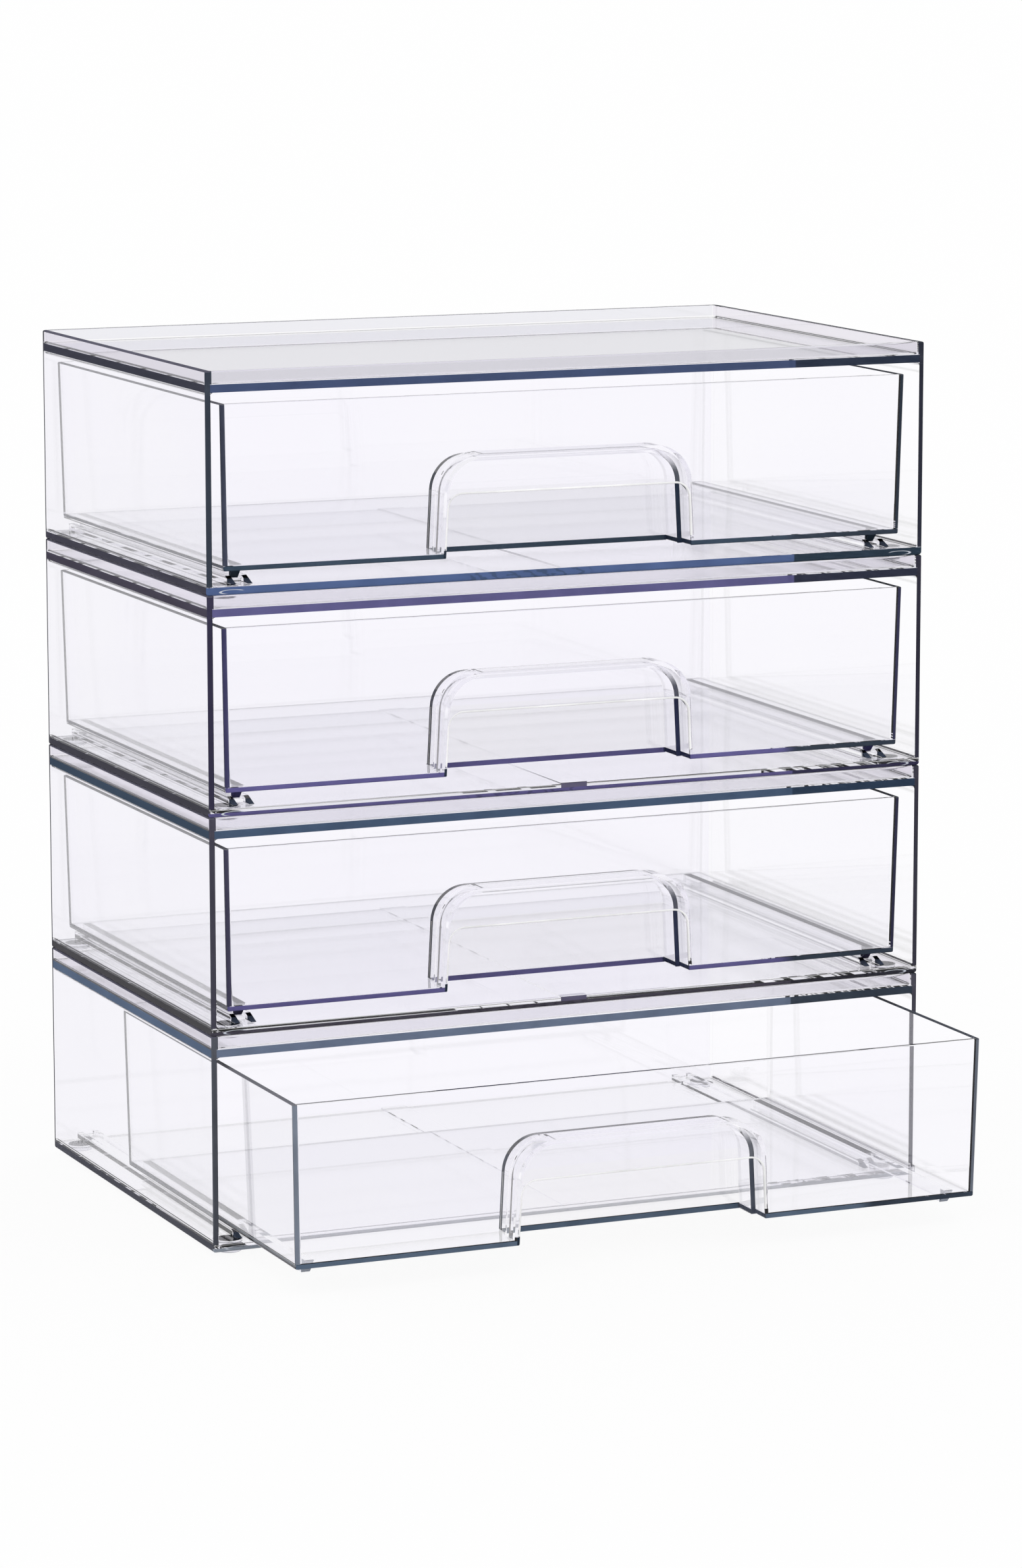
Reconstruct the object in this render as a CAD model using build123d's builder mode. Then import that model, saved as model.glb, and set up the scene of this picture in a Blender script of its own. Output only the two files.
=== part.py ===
"""Clear acrylic makeup organizer: a stack of moulded cases with one drawer each.

Millimetres, +Z up, drawers open towards -Y. The origin is on the standing surface,
in the middle of the whole footprint, with the lowest drawer pulled open.
"""

import os
from math import radians, tan

from build123d import *

os.makedirs("parts", exist_ok=True)

# The stack
unit_count = 4
drawer_pull = 74.2  # how far the lowest drawer stands open

# Case: one clear moulding, open at the front
case_width = 319.4
case_depth = 202.0
case_height = 89.5  # underside of the floor to the top of the rim
case_wall = 2.2
floor_thickness = 3.4
tray_thickness = 3.3  # the panel over the drawer, which is the floor of the tray
rim_height = 5.3
back_corner_radius = 3.5
front_corner_radius = 0.6
case_foot_radius = 1.2  # rounding of the outer edges under the floor
rim_edge_radius = 0.7
inside_radius = 1.4  # where the walls meet the floor and the panel
tray_radius = 1.0

# Rails: two ribs and a raised land between them, on each side of the case floor
rail_inset = 14.8  # inner face of the case wall to the middle of the groove
groove_width = 4.8
rib_width = 2.2
rib_height = 2.6
land_height = 1.4
rail_front_gap = 6.0  # open floor in front of the rails
rib_ramp = 7.0  # length over which the ribs rise at their front ends
flow_strip_width = 11.6  # thickened strip along the middle of the floor
flow_strip_height = 0.4

# Feet: round clear pads, seated in shallow recesses under the floor
foot_radius = 5.2
foot_drop = 2.2  # how far a foot stands out below the floor
foot_recess = 0.8
foot_recess_gap = 0.25
foot_inset = 10.7  # outer faces of the case to the middle of a foot
foot_edge_radius = 0.6

# Drawer: one clear moulding, whose walls lean outwards. Gaps and setback are at its rim
drawer_side_gap = 5.2
drawer_back_gap = 1.8
drawer_top_gap = 5.0
drawer_setback = 3.2  # drawer front behind the front edges of the case
drawer_draft = 1.1  # degrees that the walls lean outwards
drawer_wall = 1.8
drawer_floor = 2.1
drawer_corner_radius = 1.2
drawer_inside_radius = 0.8
drawer_base_radius = 0.5
drawer_rim_radius = 0.4

# Runners under the drawer, which slide on the lands
runner_height = 4.1
runner_side_gap = 0.6  # runner to rib, on each side
runner_front_gap = 7.0
runner_back_gap = 3.0
runner_slant = 4.0  # lean of the runner's front end

# Finger alcove in the drawer front, open to the front and below, in two steps of depth
alcove_width = 109.4  # at the drawer's underside
alcove_height = 40.2
alcove_depth = 20.5
alcove_radius = 15.0
alcove_wall = 2.0
alcove_draft = 3.0  # degrees that the sides lean inwards
alcove_bond = 0.4  # how far behind the foot of the drawer front the alcove's own walls start
alcove_step = 1.8  # the rear part is smaller than the front part by this, all round
alcove_step_depth = 9.2
alcove_edge_radius = 0.9
lip_height = 26.0  # lower edge of the lip that the fingers pull, above the drawer's underside
lip_radius = 6.0
lip_edge_radius = 0.5

cut_margin = 1.0  # how far a cutting shape passes an open face
find_margin = 0.01  # how near to its stated place a face or edge is looked for
facing_least = 0.99  # least share of a face's normal that points to the front, where it faces the front

# Places worked out from the sizes. Heights are over the underside of the unit's own floor.
drawer_overhang = drawer_pull - drawer_setback
footprint_depth = case_depth + drawer_overhang
case_front = drawer_overhang - footprint_depth / 2
case_back = case_front + case_depth
case_middle = (case_front + case_back) / 2
bay_width = case_width - 2 * case_wall
bay_back = case_back - case_wall
tray_underside = case_height - rim_height - tray_thickness
bay_height = tray_underside - floor_thickness
groove_middle = bay_width / 2 - rail_inset
rib_offset = (groove_width + rib_width) / 2
rail_front = case_front + rail_front_gap
rail_length = bay_back - rail_front
drawer_base = floor_thickness + land_height + runner_height
drawer_height = tray_underside - drawer_top_gap - drawer_base
drawer_lean = tan(radians(drawer_draft))
drawer_spread = drawer_height * drawer_lean  # from the foot of a drawer wall to its rim
drawer_width = bay_width - 2 * (drawer_side_gap + drawer_spread)  # at the foot, as are the next two
drawer_front = case_front + drawer_setback + drawer_spread
drawer_back = bay_back - drawer_back_gap - drawer_spread
alcove_lean = tan(radians(alcove_draft))
lip_back = drawer_wall - lip_height * drawer_lean  # the lip is a drawer wall thick at its edge
tray_top = case_height - rim_height
runner_width = groove_width - 2 * runner_side_gap
both_sides = (-1, 1)


def facing_front(y, z):
    """A plane whose normal points out of the drawers, with its local X along +X and Y along +Z."""
    return Plane(origin=(0, y, z), x_dir=(1, 0, 0), z_dir=(0, -1, 0))


def plan_rectangle(z, width, front, back, front_radius=0, back_radius=0):
    """A level rectangle from front to back, with its own roundings at each end."""
    with BuildSketch(Plane.XY.offset(z)) as plan:
        with Locations((0, (front + back) / 2)):
            Rectangle(width, back - front)
        if back_radius:
            fillet(plan.vertices().group_by(Axis.Y)[-1], back_radius)
        if front_radius:
            fillet(plan.vertices().group_by(Axis.Y)[0], front_radius)
    return plan.sketch


def arch(y, width, height, radius, below=0):
    """An upright arch facing the front, width wide at the drawer's underside, with sides that lean
    inwards, rounded shoulders and legs that reach below the underside."""
    top_half = width / 2 - height * alcove_lean
    foot_half = width / 2 + below * alcove_lean
    with BuildSketch(facing_front(y, drawer_base)) as outline:
        with BuildLine():
            Polyline(
                (-foot_half, -below),
                (foot_half, -below),
                (top_half, height),
                (-top_half, height),
                close=True,
            )
        make_face()
        fillet(outline.vertices().group_by(Axis.Y)[-1], radius)
    return outline.sketch


def side_profile(x, *points):
    """An upright face seen from the side, through points of depth and height."""
    with BuildSketch(Plane.YZ.offset(x)) as profile:
        with BuildLine():
            Polyline(*points, close=True)
        make_face()
    return profile.sketch


def leaning_edges(edges):
    """Those of a leaning-sided block's edges that run up its corners."""
    levels = edges.group_by(Axis.Z)
    return levels[len(levels) // 2]


def near(shapes, axis, place):
    """Those of the faces or edges that lie at a place along an axis."""
    return shapes.filter_by_position(axis, place - find_margin, place + find_margin)


def foot_places():
    """Name and plan position of each foot under a case."""
    foot_x = case_width / 2 - foot_inset
    foot_y = case_depth / 2 - foot_inset
    return {
        "front_left": (-foot_x, case_middle - foot_y),
        "front_right": (foot_x, case_middle - foot_y),
        "back_left": (-foot_x, case_middle + foot_y),
        "back_right": (foot_x, case_middle + foot_y),
    }


def make_case():
    """Floor, sides, back, tray panel and rim in one piece, with the rails on its floor."""
    with BuildPart() as case:
        extrude(
            plan_rectangle(0, case_width, case_front, case_back, front_corner_radius, back_corner_radius),
            amount=case_height,
        )
        fillet(case.faces().sort_by(Axis.Z)[0].edges(), case_foot_radius)
        fillet(case.faces().sort_by(Axis.Z)[-1].edges(), rim_edge_radius)

        # The bay for the drawer
        with BuildSketch(facing_front(bay_back, floor_thickness + bay_height / 2)):
            RectangleRounded(bay_width, bay_height, inside_radius)
        extrude(amount=bay_back - case_front + cut_margin, mode=Mode.SUBTRACT)

        # The tray inside the rim
        extrude(
            plan_rectangle(
                tray_top,
                bay_width,
                case_front + case_wall,
                bay_back,
                tray_radius,
                back_corner_radius - case_wall,
            ),
            amount=rim_height + cut_margin,
            mode=Mode.SUBTRACT,
        )
        fillet(near(case.faces().filter_by(Axis.Z), Axis.Z, tray_top).edges(), tray_radius)

        # Ribs and lands of the rails, and the strip along the middle
        for side in both_sides:
            for offset in (-rib_offset, rib_offset):
                rib = side_profile(
                    side * groove_middle + offset,
                    (rail_front, floor_thickness),
                    (bay_back, floor_thickness),
                    (bay_back, floor_thickness + rib_height),
                    (rail_front + rib_ramp, floor_thickness + rib_height),
                )
                extrude(rib, amount=rib_width / 2, both=True)
            with BuildSketch(Plane.XY.offset(floor_thickness)):
                with Locations((side * groove_middle, bay_back)):
                    Rectangle(groove_width, rail_length - rib_ramp, align=(Align.CENTER, Align.MAX))
            extrude(amount=land_height)
        extrude(
            plan_rectangle(floor_thickness, flow_strip_width, case_front, bay_back),
            amount=flow_strip_height,
        )

        # Recesses for the feet
        with BuildSketch():
            with Locations(*foot_places().values()):
                Circle(foot_radius + foot_recess_gap)
        extrude(amount=foot_recess, mode=Mode.SUBTRACT)
    return case.part


def make_foot():
    """A round pad, drawn at the origin, with its top in the case floor's recess."""
    with BuildPart() as foot:
        with BuildSketch(Plane.XY.offset(-foot_drop)):
            Circle(foot_radius)
        extrude(amount=foot_drop + foot_recess)
        fillet(foot.faces().sort_by(Axis.Z)[0].edges(), foot_edge_radius)
    return foot.part


def make_drawer():
    """Open box with a finger alcove moulded into its front and two runners under its floor."""
    with BuildPart() as drawer:
        extrude(
            plan_rectangle(drawer_base, drawer_width, drawer_front, drawer_back),
            amount=drawer_height,
            taper=-drawer_draft,
        )
        fillet(leaning_edges(drawer.edges()), drawer_corner_radius)
        fillet(drawer.faces().sort_by(Axis.Z)[-1].edges(), drawer_rim_radius)
        inset = drawer_wall - drawer_floor * drawer_lean
        with BuildPart(mode=Mode.SUBTRACT) as hollow:
            extrude(
                plan_rectangle(
                    drawer_base + drawer_floor,
                    drawer_width - 2 * inset,
                    drawer_front + inset,
                    drawer_back - inset,
                ),
                amount=drawer_height,
                taper=-drawer_draft,
            )
            fillet(leaning_edges(hollow.edges()), drawer_inside_radius)

        # Alcove: width, height and shoulder radius of each step's inside, and where it starts and ends
        steps = (
            (alcove_width, alcove_height, alcove_radius, lip_back, alcove_step_depth),
            (
                alcove_width - 2 * alcove_step,
                alcove_height - alcove_step,
                alcove_radius - alcove_step,
                alcove_step_depth,
                alcove_depth,
            ),
        )
        for width, height, radius, _, end in steps:
            extrude(
                arch(
                    drawer_front + end + alcove_wall,
                    width + 2 * alcove_wall,
                    height + alcove_wall,
                    radius + alcove_wall,
                ),
                amount=end + alcove_wall - alcove_bond,
            )
        alcove_back = near(
            drawer.faces().filter_by(Axis.Y), Axis.Y, drawer_front + alcove_depth + alcove_wall
        )
        above_floor = drawer_base + drawer_floor + find_margin
        fillet(
            alcove_back.edges().filter_by_position(Axis.Z, above_floor, drawer_base + drawer_height),
            alcove_edge_radius,
        )

        # The alcove is hollowed from below the drawer's floor, and opened under the lip
        for width, height, radius, start, end in steps:
            extrude(
                arch(drawer_front + end, width, height, radius, cut_margin),
                amount=end - start,
                mode=Mode.SUBTRACT,
            )
        extrude(
            arch(drawer_front + drawer_wall, alcove_width, lip_height, lip_radius, cut_margin),
            amount=drawer_wall + drawer_spread + cut_margin,
            mode=Mode.SUBTRACT,
        )
        facing_out = drawer.faces().filter_by(lambda face: face.normal_at().Y < -facing_least)
        mouth = facing_out.sort_by(Axis.Y)[0].edges()
        mouth_side = alcove_width / 2 + find_margin
        mouth_top = drawer_base + lip_height + find_margin
        mouth = mouth.filter_by_position(Axis.X, -mouth_side, mouth_side)
        fillet(mouth.filter_by_position(Axis.Z, above_floor, mouth_top), lip_edge_radius)

        # Outer edges of the underside
        alcove_end = drawer_front + alcove_depth + find_margin
        underside = drawer.faces().sort_by(Axis.Z)[0]
        outer_edges = [
            edge
            for edge in underside.edges().filter_by(GeomType.LINE)
            if abs(edge.center().X) > mouth_side or edge.center().Y > alcove_end
        ]
        fillet(outer_edges, drawer_base_radius)

        # Runners
        runner_front = drawer_front + runner_front_gap
        runner_back = drawer_back - runner_back_gap
        runner_underside = drawer_base - runner_height
        for side in both_sides:
            runner = side_profile(
                side * groove_middle,
                (runner_front, drawer_base),
                (runner_back, drawer_base),
                (runner_back, runner_underside),
                (runner_front + runner_slant, runner_underside),
            )
            extrude(runner, amount=runner_width / 2, both=True)
    return drawer.part


def write_piece(piece, name, x=0, y=0, z=0):
    """Writes a copy of a finished piece under its name, moved to its place."""
    placed = piece.moved(Location((x, y, z)))
    placed.label = name
    export_step(placed, f"parts/{name}.step")


case = make_case()
drawer = make_drawer()
foot = make_foot()
for unit in range(1, unit_count + 1):
    unit_height = foot_drop + (unit - 1) * case_height
    pull = drawer_pull if unit == 1 else 0
    write_piece(case, f"case_{unit}", z=unit_height)
    write_piece(drawer, f"drawer_{unit}", y=-pull, z=unit_height)
    for corner, (x, y) in foot_places().items():
        write_piece(foot, f"foot_{unit}_{corner}", x, y, unit_height)
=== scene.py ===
"""Clear stacking drawers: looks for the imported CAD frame. Metres, +Z up, drawers open towards -Y."""

import math

import bpy
from mathutils import Matrix, Vector


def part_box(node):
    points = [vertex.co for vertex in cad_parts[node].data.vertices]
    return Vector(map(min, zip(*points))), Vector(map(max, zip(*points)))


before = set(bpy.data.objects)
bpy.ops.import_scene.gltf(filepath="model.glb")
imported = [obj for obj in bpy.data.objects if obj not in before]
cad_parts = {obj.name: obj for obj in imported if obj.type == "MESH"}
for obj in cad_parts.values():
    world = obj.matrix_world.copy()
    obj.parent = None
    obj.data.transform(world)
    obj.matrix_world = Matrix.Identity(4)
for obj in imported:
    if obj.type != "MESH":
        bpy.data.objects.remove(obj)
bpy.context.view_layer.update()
scene = bpy.context.scene

UNITS = (1, 2, 3, 4)  # from the bottom up

# Case, heights over its underside
CASE_WALL = 0.0022
CASE_FLOOR = 0.0034
FLOOR_RADIUS = 0.0012  # rounding under the floor
TRAY_UNDERSIDE = 0.0809
TRAY_TOP = 0.0842
RIM_TOP = 0.0895
STRIP_HALF = 0.0058  # half the width of the strip along the middle of the floor
RIB_TOP = 0.0060
RIB_FRONT = 0.0060  # from the case's front edges back to the ribs
RIB_TIP = 0.0045  # length of the painted shade on a rib's front end
RIB_SPAN = (0.1370, 0.1480)  # the ribs lie between these, on both sides
BACK_RADIUS = 0.0035
FOOT_INSET = 0.0107
CASE_RIM_DEPTH = 0.0005  # how far the painted shade of the rim reaches down
RIM_POST_EXTRA = 0.0006  # a front edge's painted shade is this much wider beside the rim

# Drawer, heights over its underside, depths behind the foot of its front
DRAWER_HEIGHT = 0.0670
DRAWER_WALL = 0.0018
DRAWER_FLOOR = 0.0021
DRAWER_LEAN = 0.0192  # outward lean of the walls, per height
RUNNER_FRONT = 0.0070
RUNNER_SLANT = 0.0040
ALCOVE_HALF = 0.0547
ALCOVE_LEAN = 0.0524
STEP_DEPTH = 0.0092
ALCOVE_DEPTH = 0.0205
ALCOVE_WALL = 0.0020
LIP_HEIGHT = 0.0260
LIP_RADIUS = 0.0060
DRAWER_RIM_DEPTH = 0.0004
POST_DEPTH = 0.0009  # how far the painted shade of the front edges reaches back
REAR_ARCH = (0.0529, 0.0384, 0.0132)  # inside of the alcove's rear part: half width, top, shoulder

SKIN = 0.0003  # how near to a face a point counts as on it
DARK_END = 0.100  # right of this the front edges show the dark side of the studio

# The case floor's front edge: heights painted dark or bright, painted wavy reflections, and the painted ring
# where a foot shows through
FLOOR_BAND = (0.0001, 0.00175)  # in all units but the top one, whose whole edge is painted dark
FLOOR_LINE = (0.0028, 0.0031)
STRIP_BAND = (0.00175, 0.0036)
STRIP_UNITS = (2, 3)
REFLECTION_SPAN = (-0.047, 0.007)  # the painted reflections lie between these, from left to right
REFLECTION_RATE = 900.0
REFLECTION_BENDS = 14.0  # how much noise bends the painted reflections
REFLECTION_SHARE = 0.45
RING_HALF_WIDTH = 0.0054
RING_HALF_HEIGHT = 0.0009
RING_HEIGHT = 0.0013

# The alcove's edges, painted dark or bright
STEP_RING_TOP = 0.034  # above this the painted dark ring of the step fades
OUTER_START = 0.0014  # how far in front of the alcove's back its outer painted dark edge starts
OUTER_END = -0.041  # right of this that edge isn't painted dark
CHEEK_DEPTH = 0.0025
MOUTH_HIGHLIGHT_WIDTH = 0.0009
BLOCK_WIDTH = 0.0013
BLOCK_HEIGHT = 0.0034

# Plastic
IOR = 1.49
TINT = (0.90, 0.885, 0.96, 1)
DENSITY = 2.5
PAD_DENSITY = 4.0
PAD_ROUGHNESS = 0.08
SOLID_SHARE = 0.95  # share of the light that a painted dark edge keeps from passing

# Colours that don't differ by unit: painted shade and painted highlights, and the pads' own tones last
RIB_END_SHADE = "#505A6E"
BAY_PANE_SHADE = "#FBFAFE"
RIM_BACK_PANE_SHADE = "#F0F0F4"
RIM_FRONT_PANE_SHADE = "#EBEAEE"
RIM_SIDE_PANE_SHADE = "#EFECF2"
CASE_RIM_SHADE = ("#5E5D6C", "#3A3D46")  # painted shade, left and right, as are the next pair
DRAWER_RIM_SHADE = ("#7C7C84", "#545862")
CASE_CORNER_SHADE = "#4A4A52"
DRAWER_CORNER_SHADE = "#909096"
FLOOR_LINE_SHADE = "#B4B4B4"
FOOT_RING_HIGHLIGHT = "#C9CFDA"
STRIP_FRONT_SHADE = "#5E5A72"
DRAWER_FRONT_DARK_SHADE = "#38414E"
STEP_RING_LEFT_SHADE = "#77736E"
CHEEK_LEFT_SHADE = "#8A8F98"
MOUTH_HIGHLIGHT = "#FFFFFF"
MOUTH_SHADE_BLOCK = "#26303E"
PAD_SHADES = ("#F0F0F4", "#F6F6F9")

# Painted shade by unit, on the edges and panes
TRAY_FRONT_SHADE = {1: "#6C7991", 2: "#43556F", 3: "#5D5A88", 4: "#414E70"}
TRAY_FRONT_DARK_SHADE = {1: "#39424F", 2: "#2C3B50", 3: "#2E3142", 4: "#2A3243"}
TRAY_SIDE_SHADE = {1: "#5B6B84", 2: "#3C4B5E", 3: "#44404E", 4: "#393A46"}
FLOOR_FRONT_SHADE = {1: "#A0A8B4", 2: "#46434E", 3: "#5A5585", 4: "#50638F"}
FLOOR_FRONT_DARK_SHADE = {1: "#7C8490", 2: "#2E2E36", 3: "#33314A", 4: "#2B3947"}
FLOOR_SIDE_SHADE = {1: "#55565F", 2: "#4C4B4E", 3: "#42414A", 4: "#42414D"}
POST_LEFT_SHADE = {1: "#575A63", 2: "#474552", 3: "#37344A", 4: "#3A414D"}
POST_RIGHT_SHADE = {1: "#4B4A56", 2: "#3B3A46", 3: "#32313F", 4: "#30323E"}
DRAWER_FRONT_SHADE = {1: "#5C6C80", 2: "#625D90", 3: "#635E94", 4: "#3C4B5C"}
DRAWER_POST_SHADE = {1: "#7C8492", 2: "#48465C", 3: "#47456A", 4: "#45495A"}
DRAWER_POST_RIGHT_SHADE = {1: "#6A707C", 2: "#34344A", 3: "#3A3A55", 4: "#323A46"}
DRAWER_SIDE_SHADE = {1: "#85888E", 2: "#8A8A90", 3: "#84848E", 4: "#7C7E88"}
ALCOVE_EDGE_SHADE = {1: "#565C6A", 2: "#363C58", 3: "#303555", 4: "#2C384C"}
ALCOVE_PANE_SHADE = {1: "#FFFFFD", 2: "#FDFDFB", 3: "#FDFDFB", 4: "#F9F9F9"}
RUNNER_END_SHADE = {1: "#A4A9B4", 2: "#3A3850", 3: "#454270", 4: "#33404E"}


# ---------------------------------------------------------------- nodes
class Graph:
    """A material's node tree, with short calls for the nodes used here."""

    def __init__(self, name):
        self.material = bpy.data.materials.new(name)
        self.material.use_nodes = True
        self.tree = self.material.node_tree
        self.tree.nodes.clear()
        self.out = self.add("OutputMaterial")

    def add(self, kind):
        return self.tree.nodes.new("ShaderNode" + kind)

    def put(self, socket, value):
        if hasattr(value, "is_output"):
            self.tree.links.new(value, socket)
        else:
            socket.default_value = value

    def math(self, operation, a, b=None):
        node = self.add("Math")
        node.operation = operation
        self.put(node.inputs[0], a)
        if b is not None:
            self.put(node.inputs[1], b)
        return node.outputs[0]

    def plus(self, a, b):
        return self.math("ADD", a, b)

    def minus(self, a, b):
        return self.math("SUBTRACT", a, b)

    def times(self, a, b):
        return self.math("MULTIPLY", a, b)

    def above(self, value, edge, soft=0.0):
        """1 where the value is over the edge, with a ramp as wide as soft."""
        if not soft:
            return self.math("GREATER_THAN", value, edge)
        node = self.add("MapRange")
        node.interpolation_type = "SMOOTHSTEP"
        self.put(node.inputs["Value"], value)
        self.put(node.inputs["From Min"], edge - soft / 2)
        self.put(node.inputs["From Max"], edge + soft / 2)
        return node.outputs[0]

    def below(self, value, edge, soft=0.0):
        return self.minus(1.0, self.above(value, edge, soft))

    def between(self, value, low, high, soft=0.0):
        return self.times(self.above(value, low, soft), self.below(value, high, soft))

    def both(self, *masks):
        result = masks[0]
        for mask in masks[1:]:
            result = self.times(result, mask)
        return result

    def either(self, *masks):
        result = masks[0]
        for mask in masks[1:]:
            result = self.math("MAXIMUM", result, mask)
        return result

    def colour(self, factor, a, b):
        node = self.add("Mix")
        node.data_type = "RGBA"
        self.put(node.inputs["Factor"], factor)
        self.put(node.inputs["A"], a)
        self.put(node.inputs["B"], b)
        return node.outputs["Result"]

    def place(self):
        """The shaded point in the object's own frame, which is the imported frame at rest."""
        self.coords = self.add("TexCoord").outputs["Object"]
        split = self.add("SeparateXYZ")
        self.put(split.inputs[0], self.coords)
        return split.outputs

    def noise(self, scale, stretch=(1, 1, 1), detail=2.0):
        mapping = self.add("Mapping")
        self.put(mapping.inputs["Vector"], self.coords)
        mapping.inputs["Scale"].default_value = stretch
        node = self.add("TexNoise")
        self.put(node.inputs["Vector"], mapping.outputs[0])
        node.inputs["Scale"].default_value = scale
        node.inputs["Detail"].default_value = detail
        return node.outputs["Fac"]

    def past_arch(self, reach, height, half, top, radius):
        """How far a point lies outside an arch with rounded shoulders, measured over its top or beside it."""
        sideways = self.math("MAXIMUM", self.minus(reach, half - radius), 0.0)
        upwards = self.math("MAXIMUM", self.minus(height, top - radius), 0.0)
        square = self.plus(self.times(sideways, sideways), self.times(upwards, upwards))
        return self.minus(self.math("SQRT", square), radius)

    def outside(self):
        """1 where the surface is met from the outside, 0 where it is met from within the plastic."""
        return self.minus(1.0, self.add("NewGeometry").outputs["Backfacing"])


def linear(hexa):
    """A #rrggbb colour as linear RGBA."""
    values = [int(hexa[i : i + 2], 16) / 255 for i in (1, 3, 5)]
    return tuple(v / 12.92 if v <= 0.04045 else ((v + 0.055) / 1.055) ** 2.4 for v in values) + (1.0,)


def see_through_base(hexa):
    """The base colour that makes a clear face show a colour: light takes its square root."""
    return tuple(v * v for v in linear(hexa)[:3]) + (1.0,)


class Clear(Graph):
    """Clear plastic, with painted pale shade on stretches of its outside, and painted dark where an edge
    gathers the dark.
    """

    def __init__(self, name):
        super().__init__(name)
        self.x, self.y, self.z = self.place()
        self.met = self.outside()
        self.base = self.colour(self.noise(9.0), (1, 1, 1, 1), (0.985, 0.98, 1, 1))
        self.shade = self.noise(70.0, (1, 0.4, 1))
        self.solid = None

    # Paints pale shade on a stretch of the outside, seen from the outside only
    def paint_pale_shade(self, where, hexa):
        self.base = self.colour(self.times(where, self.met), self.base, see_through_base(hexa))

    def edge(self, where, hexa):
        """Paints a stretch, given as a mask, as a nearly opaque edge of painted shade or painted highlight, a
        little uneven.
        """
        where = self.times(where, self.met)
        colour = hexa if hasattr(hexa, "is_output") else linear(hexa)
        uneven = self.add("HueSaturation")
        self.put(uneven.inputs["Value"], self.plus(self.times(self.shade, 0.5), 0.75))
        self.put(uneven.inputs["Color"], colour)
        self.base = self.colour(where, self.base, uneven.outputs[0])
        self.solid = where if self.solid is None else self.either(self.solid, where)

    def finish(self, density, roughness=0.0):
        shader = self.add("BsdfPrincipled")
        self.put(shader.inputs["Base Color"], self.base)
        haze = self.times(self.noise(60.0), 0.02)
        self.put(shader.inputs["Roughness"], self.plus(haze, roughness))
        shader.inputs["IOR"].default_value = IOR
        if self.solid is None:
            shader.inputs["Transmission Weight"].default_value = 1.0
        else:
            passed = self.minus(1.0, self.times(self.solid, SOLID_SHARE))
            self.put(shader.inputs["Transmission Weight"], passed)
            self.put(shader.inputs["Specular IOR Level"], self.times(self.minus(1.0, self.solid), 0.5))
        self.tree.links.new(shader.outputs[0], self.out.inputs["Surface"])
        volume = self.add("VolumeAbsorption")
        volume.inputs["Color"].default_value = TINT
        volume.inputs["Density"].default_value = density
        self.tree.links.new(volume.outputs[0], self.out.inputs["Volume"])
        return self.material


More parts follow.
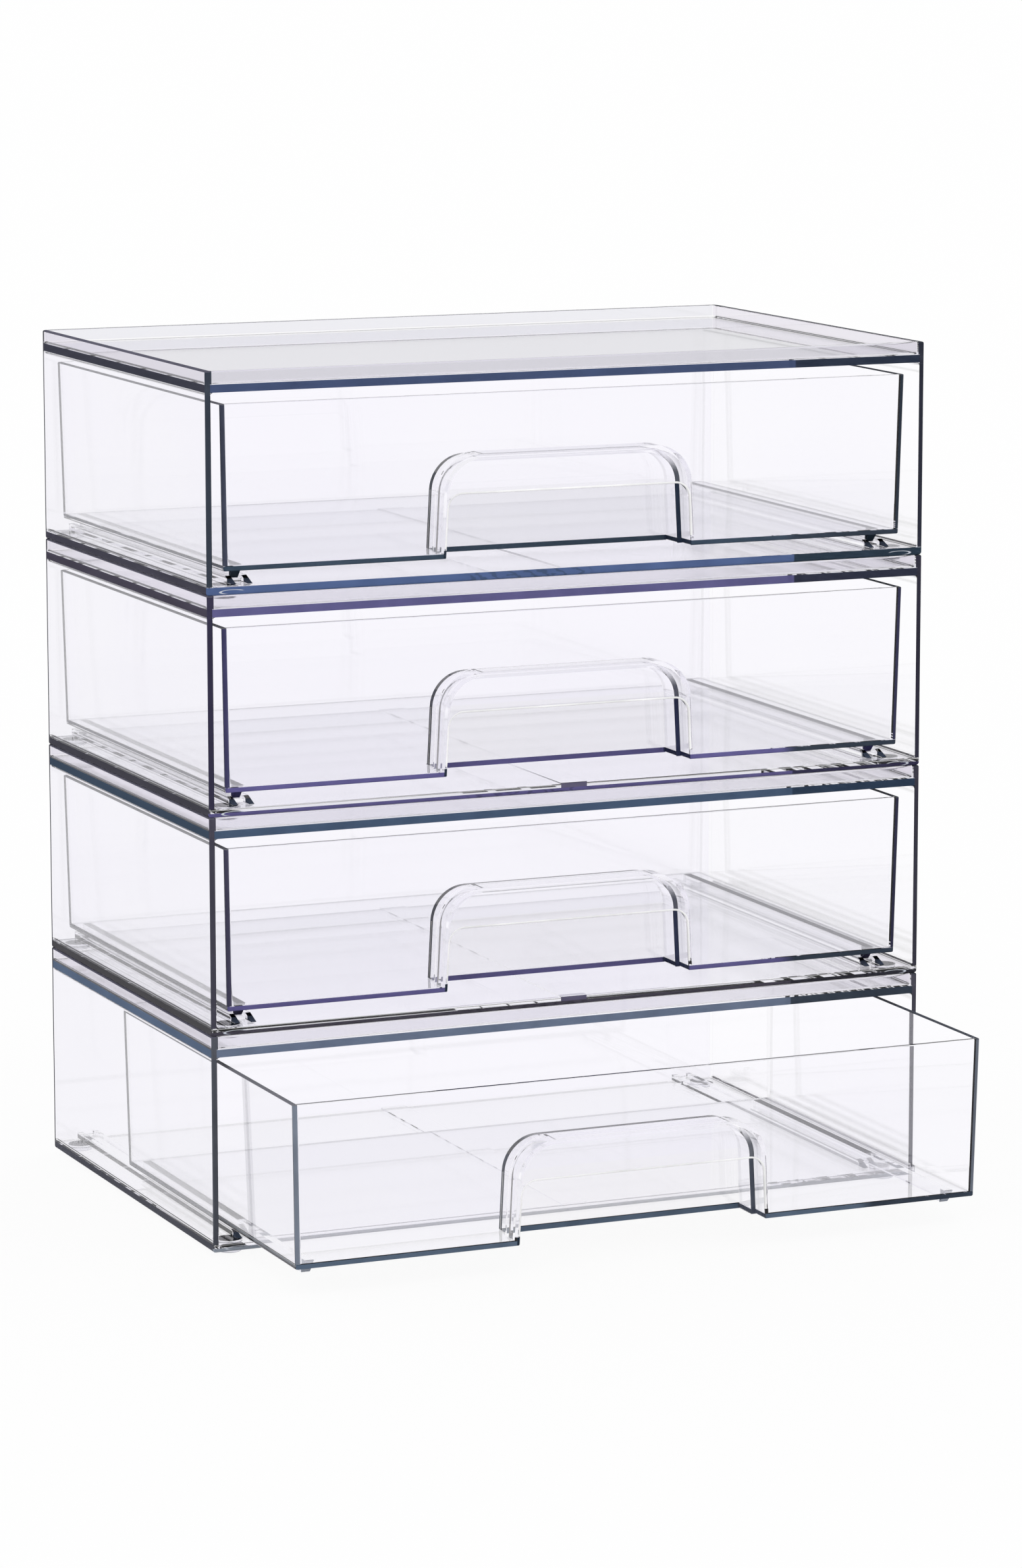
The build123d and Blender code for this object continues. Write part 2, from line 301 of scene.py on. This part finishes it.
def case_look(unit):
    low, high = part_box(f"case_{unit}")
    g = Clear(f"clear_case_{unit}")
    across = g.math("ABSOLUTE", g.x)
    height = g.minus(g.z, low.z)
    left, right = g.below(g.x, 0.0), g.above(g.x, 0.0)
    front = g.below(g.y, low.y + SKIN)
    side = g.above(across, high.x - SKIN)
    back = g.above(g.y, high.y - SKIN)
    dark_end = g.above(g.x, DARK_END, 0.0008)

    # Rails: painted shade on the front ends of the ribs
    rib = g.both(g.between(height, CASE_FLOOR + SKIN / 3, RIB_TOP + SKIN), g.between(across, *RIB_SPAN))
    g.edge(g.both(rib, g.between(g.y, low.y + RIB_FRONT - SKIN, low.y + RIB_FRONT + RIB_TIP)), RIB_END_SHADE)

    # Painted pale shade on the back wall of the bay, and on the panes of the rim round the tray
    far = g.above(g.y, high.y - CASE_WALL - SKIN)
    g.paint_pale_shade(g.both(far, g.between(height, CASE_FLOOR, TRAY_UNDERSIDE)), BAY_PANE_SHADE)
    rim = g.above(height, TRAY_TOP + 2 * SKIN)
    wall = g.above(across, high.x - CASE_WALL - SKIN)
    g.paint_pale_shade(g.both(rim, far), RIM_BACK_PANE_SHADE)
    g.paint_pale_shade(g.both(rim, front), RIM_FRONT_PANE_SHADE)
    g.paint_pale_shade(g.both(rim, wall), RIM_SIDE_PANE_SHADE)

    # Floor: painted shade on the sides and back, then on the front edge, with painted wavy reflections
    floor = g.below(height, CASE_FLOOR - SKIN / 3)
    flat = g.above(height, FLOOR_RADIUS / 2)
    g.edge(g.both(g.either(side, back), floor, flat), FLOOR_SIDE_SHADE[unit])
    slant = g.plus(g.times(g.x, REFLECTION_RATE), g.times(g.z, REFLECTION_RATE))
    reflection_wave = g.math("SINE", g.plus(slant, g.times(g.noise(160.0, (1, 1, 2.5)), REFLECTION_BENDS)))
    painted_reflections = g.times(g.above(reflection_wave, 0.45, 0.7), g.between(g.x, *REFLECTION_SPAN, 0.006))
    dark = linear(FLOOR_FRONT_DARK_SHADE[unit])
    colour = g.colour(g.times(painted_reflections, REFLECTION_SHARE), linear(FLOOR_FRONT_SHADE[unit]), dark)
    colour = g.colour(dark_end, colour, dark)
    near_front = g.below(g.y, low.y + FLOOR_RADIUS)
    edge = g.both(near_front, floor)
    if unit != UNITS[-1]:
        edge = g.both(near_front, g.between(height, *FLOOR_BAND))
        g.edge(g.both(front, g.between(height, *FLOOR_LINE)), FLOOR_LINE_SHADE)
    g.edge(edge, colour)
    if unit in STRIP_UNITS:
        strip = g.both(g.below(across, STRIP_HALF), g.between(height, *STRIP_BAND))
        g.edge(g.both(near_front, strip), STRIP_FRONT_SHADE)

    # Painted highlight: the foot, seen through the front edge, as a thin bright ring
    ring_x = g.times(g.minus(across, high.x - FOOT_INSET), 1 / RING_HALF_WIDTH)
    ring_z = g.times(g.minus(height, RING_HEIGHT), 1 / RING_HALF_HEIGHT)
    ring = g.plus(g.times(ring_x, ring_x), g.times(ring_z, ring_z))
    ring = g.both(g.between(ring, 0.70, 1.10, 0.1), g.above(g.plus(ring_z, ring_x), -0.3, 0.8))
    g.edge(g.both(near_front, floor, ring), FOOT_RING_HIGHLIGHT)

    # Tray panel: painted shade on the sides and back, then on the front edge
    panel = g.between(height, TRAY_UNDERSIDE, TRAY_TOP - SKIN / 3)
    g.edge(g.both(g.either(side, back), panel), TRAY_SIDE_SHADE[unit])
    colour = g.colour(dark_end, linear(TRAY_FRONT_SHADE[unit]), linear(TRAY_FRONT_DARK_SHADE[unit]))
    g.edge(g.both(front, panel), colour)

    # Painted shade on the front edges of the walls, on the rims, and on the corners at the back, left and
    # right shaded apart
    wide = g.times(g.above(height, TRAY_TOP), RIM_POST_EXTRA)
    post = g.above(g.plus(across, wide), high.x - CASE_WALL + SKIN / 3)
    post = g.both(g.below(g.y, low.y + 2 * SKIN), post)
    standing = g.above(height, CASE_FLOOR)
    g.edge(g.both(post, standing, left), POST_LEFT_SHADE[unit])
    g.edge(g.both(post, standing, right), POST_RIGHT_SHADE[unit])
    rim = g.both(g.above(height, RIM_TOP - CASE_RIM_DEPTH), g.above(across, high.x - CASE_WALL))
    g.edge(g.both(rim, left), CASE_RIM_SHADE[0])
    g.edge(g.both(rim, right), CASE_RIM_SHADE[1])
    corner = g.between(g.y, high.y - BACK_RADIUS - 0.0006, high.y - 0.0018)
    g.edge(g.both(corner, g.above(across, high.x - 0.0012)), CASE_CORNER_SHADE)
    return g.finish(DENSITY)


def drawer_look(unit):
    low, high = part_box(f"drawer_{unit}")
    spread = DRAWER_HEIGHT * DRAWER_LEAN
    g = Clear(f"clear_drawer_{unit}")
    height = g.minus(g.z, high.z - DRAWER_HEIGHT)
    lean = g.times(height, DRAWER_LEAN)
    across = g.minus(g.math("ABSOLUTE", g.x), lean)
    depth = g.minus(g.y, low.y + spread)
    half, length = high.x - spread, high.y - low.y - 2 * spread
    left, right = g.below(g.x, 0.0), g.above(g.x, 0.0)
    behind = g.plus(depth, lean)
    front = g.below(behind, SKIN)
    side = g.above(across, half - SKIN)
    back = g.above(g.minus(depth, lean), length - SKIN)
    dark_end = g.above(g.x, DARK_END, 0.010)

    # Painted shade on the floor edges, front edges of the walls, rims of the side walls and corners at the
    # back
    floor = g.between(height, -SKIN, DRAWER_FLOOR - SKIN / 3)
    g.edge(g.both(g.either(side, back), floor, g.above(height, DRAWER_FLOOR / 2)), DRAWER_SIDE_SHADE[unit])
    colour = g.colour(dark_end, linear(DRAWER_FRONT_SHADE[unit]), linear(DRAWER_FRONT_DARK_SHADE))
    g.edge(g.both(g.below(behind, 2 * SKIN), floor), colour)
    post = g.both(g.below(behind, POST_DEPTH), g.above(across, half - DRAWER_WALL))
    post = g.both(post, g.above(height, DRAWER_FLOOR))
    g.edge(g.both(post, left), DRAWER_POST_SHADE[unit])
    g.edge(g.both(post, right), DRAWER_POST_RIGHT_SHADE[unit])
    rim = g.both(g.above(height, DRAWER_HEIGHT - DRAWER_RIM_DEPTH), g.above(across, half - DRAWER_WALL))
    g.edge(g.both(rim, left), DRAWER_RIM_SHADE[0])
    g.edge(g.both(rim, right), DRAWER_RIM_SHADE[1])
    corner = g.both(g.above(g.minus(depth, lean), length - 0.0013), side)
    g.edge(g.both(corner, g.above(height, DRAWER_FLOOR)), DRAWER_CORNER_SHADE)

    # Painted shade on the front ends of the runners
    g.edge(g.both(g.below(height, 0.0), g.below(depth, RUNNER_FRONT + RUNNER_SLANT + SKIN)), RUNNER_END_SHADE[unit])

    # Alcove: the step's ring in painted shade, dark on the right and thin on the left
    reach = g.plus(g.math("ABSOLUTE", g.x), g.times(height, ALCOVE_LEAN))
    in_mouth = g.below(reach, ALCOVE_HALF + SKIN)
    ring = g.both(g.between(depth, STEP_DEPTH - SKIN, STEP_DEPTH + SKIN), in_mouth)
    g.edge(g.both(ring, right, g.below(height, STEP_RING_TOP, 0.010)), ALCOVE_EDGE_SHADE[unit])
    g.edge(g.both(ring, left, g.above(reach, ALCOVE_HALF - 2 * SKIN)), STEP_RING_LEFT_SHADE)

    # Alcove: painted shade on its outer edge at the back, the pane and the foot of its walls
    past_rear = g.past_arch(reach, height, *REAR_ARCH)
    outer = g.between(depth, ALCOVE_DEPTH - OUTER_START, ALCOVE_DEPTH + ALCOVE_WALL - SKIN / 3)
    outer = g.both(outer, g.between(past_rear, ALCOVE_WALL / 3, ALCOVE_WALL + SKIN))
    outer = g.both(outer, g.above(height, DRAWER_FLOOR), g.below(g.x, OUTER_END, 0.012))
    g.edge(outer, ALCOVE_EDGE_SHADE[unit])
    inside = g.both(g.between(depth, ALCOVE_DEPTH - SKIN, ALCOVE_DEPTH + SKIN), in_mouth)
    g.paint_pale_shade(g.both(inside, g.below(height, LIP_HEIGHT)), ALCOVE_PANE_SHADE[unit])
    foot = g.below(height, DRAWER_FLOOR)
    g.edge(g.both(inside, foot), DRAWER_FRONT_SHADE[unit])
    cheek = g.between(reach, ALCOVE_HALF - CHEEK_DEPTH, ALCOVE_HALF + SKIN)
    cheek = g.both(cheek, g.between(depth, 0.0, ALCOVE_DEPTH))
    cheek = g.both(cheek, foot, g.above(height, SKIN))
    g.edge(g.both(cheek, left), CHEEK_LEFT_SHADE)
    g.edge(g.both(cheek, right), ALCOVE_EDGE_SHADE[unit])

    # Painted highlight: a white edge round the mouth, with a block of painted shade at its lower left
    past_mouth = g.past_arch(reach, height, ALCOVE_HALF, LIP_HEIGHT, LIP_RADIUS)
    mouth = g.both(g.below(behind, 0.0007), g.between(past_mouth, -SKIN, MOUTH_HIGHLIGHT_WIDTH))
    g.edge(g.both(mouth, g.above(height, 2 * DRAWER_FLOOR)), MOUTH_HIGHLIGHT)
    block = g.both(front, left, g.between(reach, ALCOVE_HALF, ALCOVE_HALF + BLOCK_WIDTH))
    g.edge(g.both(block, g.between(height, SKIN, BLOCK_HEIGHT)), MOUTH_SHADE_BLOCK)
    return g.finish(DENSITY)


def foot_look():
    g = Clear("clear_foot")
    g.base = g.colour(g.noise(200.0), see_through_base(PAD_SHADES[0]), see_through_base(PAD_SHADES[1]))
    return g.finish(PAD_DENSITY, PAD_ROUGHNESS)


pad = foot_look()
for unit in UNITS:
    looks = {f"case_{unit}": case_look(unit), f"drawer_{unit}": drawer_look(unit)}
    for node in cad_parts:
        if node.startswith(f"foot_{unit}_"):
            looks[node] = pad
    for node, look in looks.items():
        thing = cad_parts[node]
        if not thing.material_slots:
            thing.data.materials.append(look)
        for slot in thing.material_slots:
            slot.material = look


# ---------------------------------------------------------------- floor and light
SEEN_FLOOR = 0.93  # share of the floor's own white where it is looked at


def make_floor():
    """A white floor that shows a faint shadow, and is greyer in the object's reflections."""
    reach = 60.0
    corners = [(-reach, -reach, 0), (reach, -reach, 0), (reach, reach, 0), (-reach, reach, 0)]
    mesh = bpy.data.meshes.new("floor")
    mesh.from_pydata(corners, [], [(0, 1, 2, 3)])
    floor = bpy.data.objects.new("floor", mesh)
    scene.collection.objects.link(floor)
    g = Graph("floor")
    path = g.add("LightPath")
    seen = g.math("MAXIMUM", path.outputs["Is Camera Ray"], path.outputs["Is Transmission Ray"])
    g.place()
    diffuse = g.add("BsdfDiffuse")
    g.put(diffuse.inputs["Color"], g.colour(g.noise(3.0), (0.93, 0.93, 0.93, 1), (0.96, 0.96, 0.96, 1)))
    glow = g.add("Emission")
    g.put(glow.inputs["Color"], g.colour(seen, (0.76, 0.755, 0.80, 1), (1, 1, 1, 1)))
    mix = g.add("MixShader")
    g.put(mix.inputs[0], g.math("MAXIMUM", g.times(seen, SEEN_FLOOR), path.outputs["Is Glossy Ray"]))
    g.tree.links.new(diffuse.outputs[0], mix.inputs[1])
    g.tree.links.new(glow.outputs[0], mix.inputs[2])
    g.tree.links.new(mix.outputs[0], g.out.inputs["Surface"])
    mesh.materials.append(g.material)


def make_world():
    """White where it is looked at. Reflections, and light bent upwards, meet a greyer room."""
    world = bpy.data.worlds.new("studio")
    scene.world = world
    world.use_nodes = True
    tree = world.node_tree
    tree.nodes.clear()
    add, link = tree.nodes.new, tree.links.new
    out = add("ShaderNodeOutputWorld")
    path = add("ShaderNodeLightPath")
    split = add("ShaderNodeSeparateXYZ")
    link(add("ShaderNodeTexCoord").outputs["Generated"], split.inputs[0])

    def ramp(*stops):
        node = add("ShaderNodeValToRGB")
        link(split.outputs[2], node.inputs[0])
        elements = node.color_ramp.elements
        while len(elements) < len(stops):
            elements.new(0.5)
        for element, (position, colour) in zip(elements, stops):
            element.position = position
            element.color = (*colour, 1)
        return node.outputs[0]

    def background(colour):
        node = add("ShaderNodeBackground")
        link(colour, node.inputs[0])
        return node.outputs[0]

    def mixed(factor, a, b):
        node = add("ShaderNodeMixShader")
        link(factor, node.inputs[0])
        link(a, node.inputs[1])
        link(b, node.inputs[2])
        return node.outputs[0]

    dark, middle, pale, white = (0.70, 0.70, 0.72), (0.74, 0.74, 0.76), (0.95, 0.95, 0.95), (1.0, 1.0, 1.0)
    room = background(ramp((0.0, pale), (1.0, white)))
    mirrored = background(ramp((0.0, dark), (0.45, middle), (1.0, pale)))
    bent = background(ramp((0.0, white), (0.02, (0.84, 0.84, 0.87)), (1.0, pale)))
    plain = add("ShaderNodeBackground")
    plain.inputs[0].default_value = (*white, 1)
    light = mixed(path.outputs["Is Glossy Ray"], room, mirrored)
    light = mixed(path.outputs["Is Transmission Ray"], light, bent)
    light = mixed(path.outputs["Is Camera Ray"], light, plain.outputs[0])
    link(light, out.inputs["Surface"])


make_floor()
make_world()

scene.cycles.max_bounces = 32
scene.cycles.transmission_bounces = 32
scene.cycles.glossy_bounces = 12
scene.cycles.transparent_max_bounces = 16
scene.view_settings.view_transform = "Standard"

# ---------------------------------------------------------------- camera
CAMERA_PLACE = (-0.91503, -2.11107, 0.56995)
YAW, PITCH, ROLL = 0.409053, -0.170494, -0.000702
LENS, SENSOR = 127.065, 36.0

camera = bpy.data.objects.new("camera", bpy.data.cameras.new("camera"))
scene.collection.objects.link(camera)
forward = Vector((math.sin(YAW) * math.cos(PITCH), math.cos(YAW) * math.cos(PITCH), math.sin(PITCH)))
turn = forward.to_track_quat("-Z", "Y").to_matrix().to_4x4() @ Matrix.Rotation(ROLL, 4, "Z")
camera.matrix_world = Matrix.Translation(CAMERA_PLACE) @ turn
camera.data.sensor_fit = "VERTICAL"
camera.data.sensor_height = SENSOR
camera.data.lens = LENS
camera.data.clip_start = 0.05
scene.camera = camera
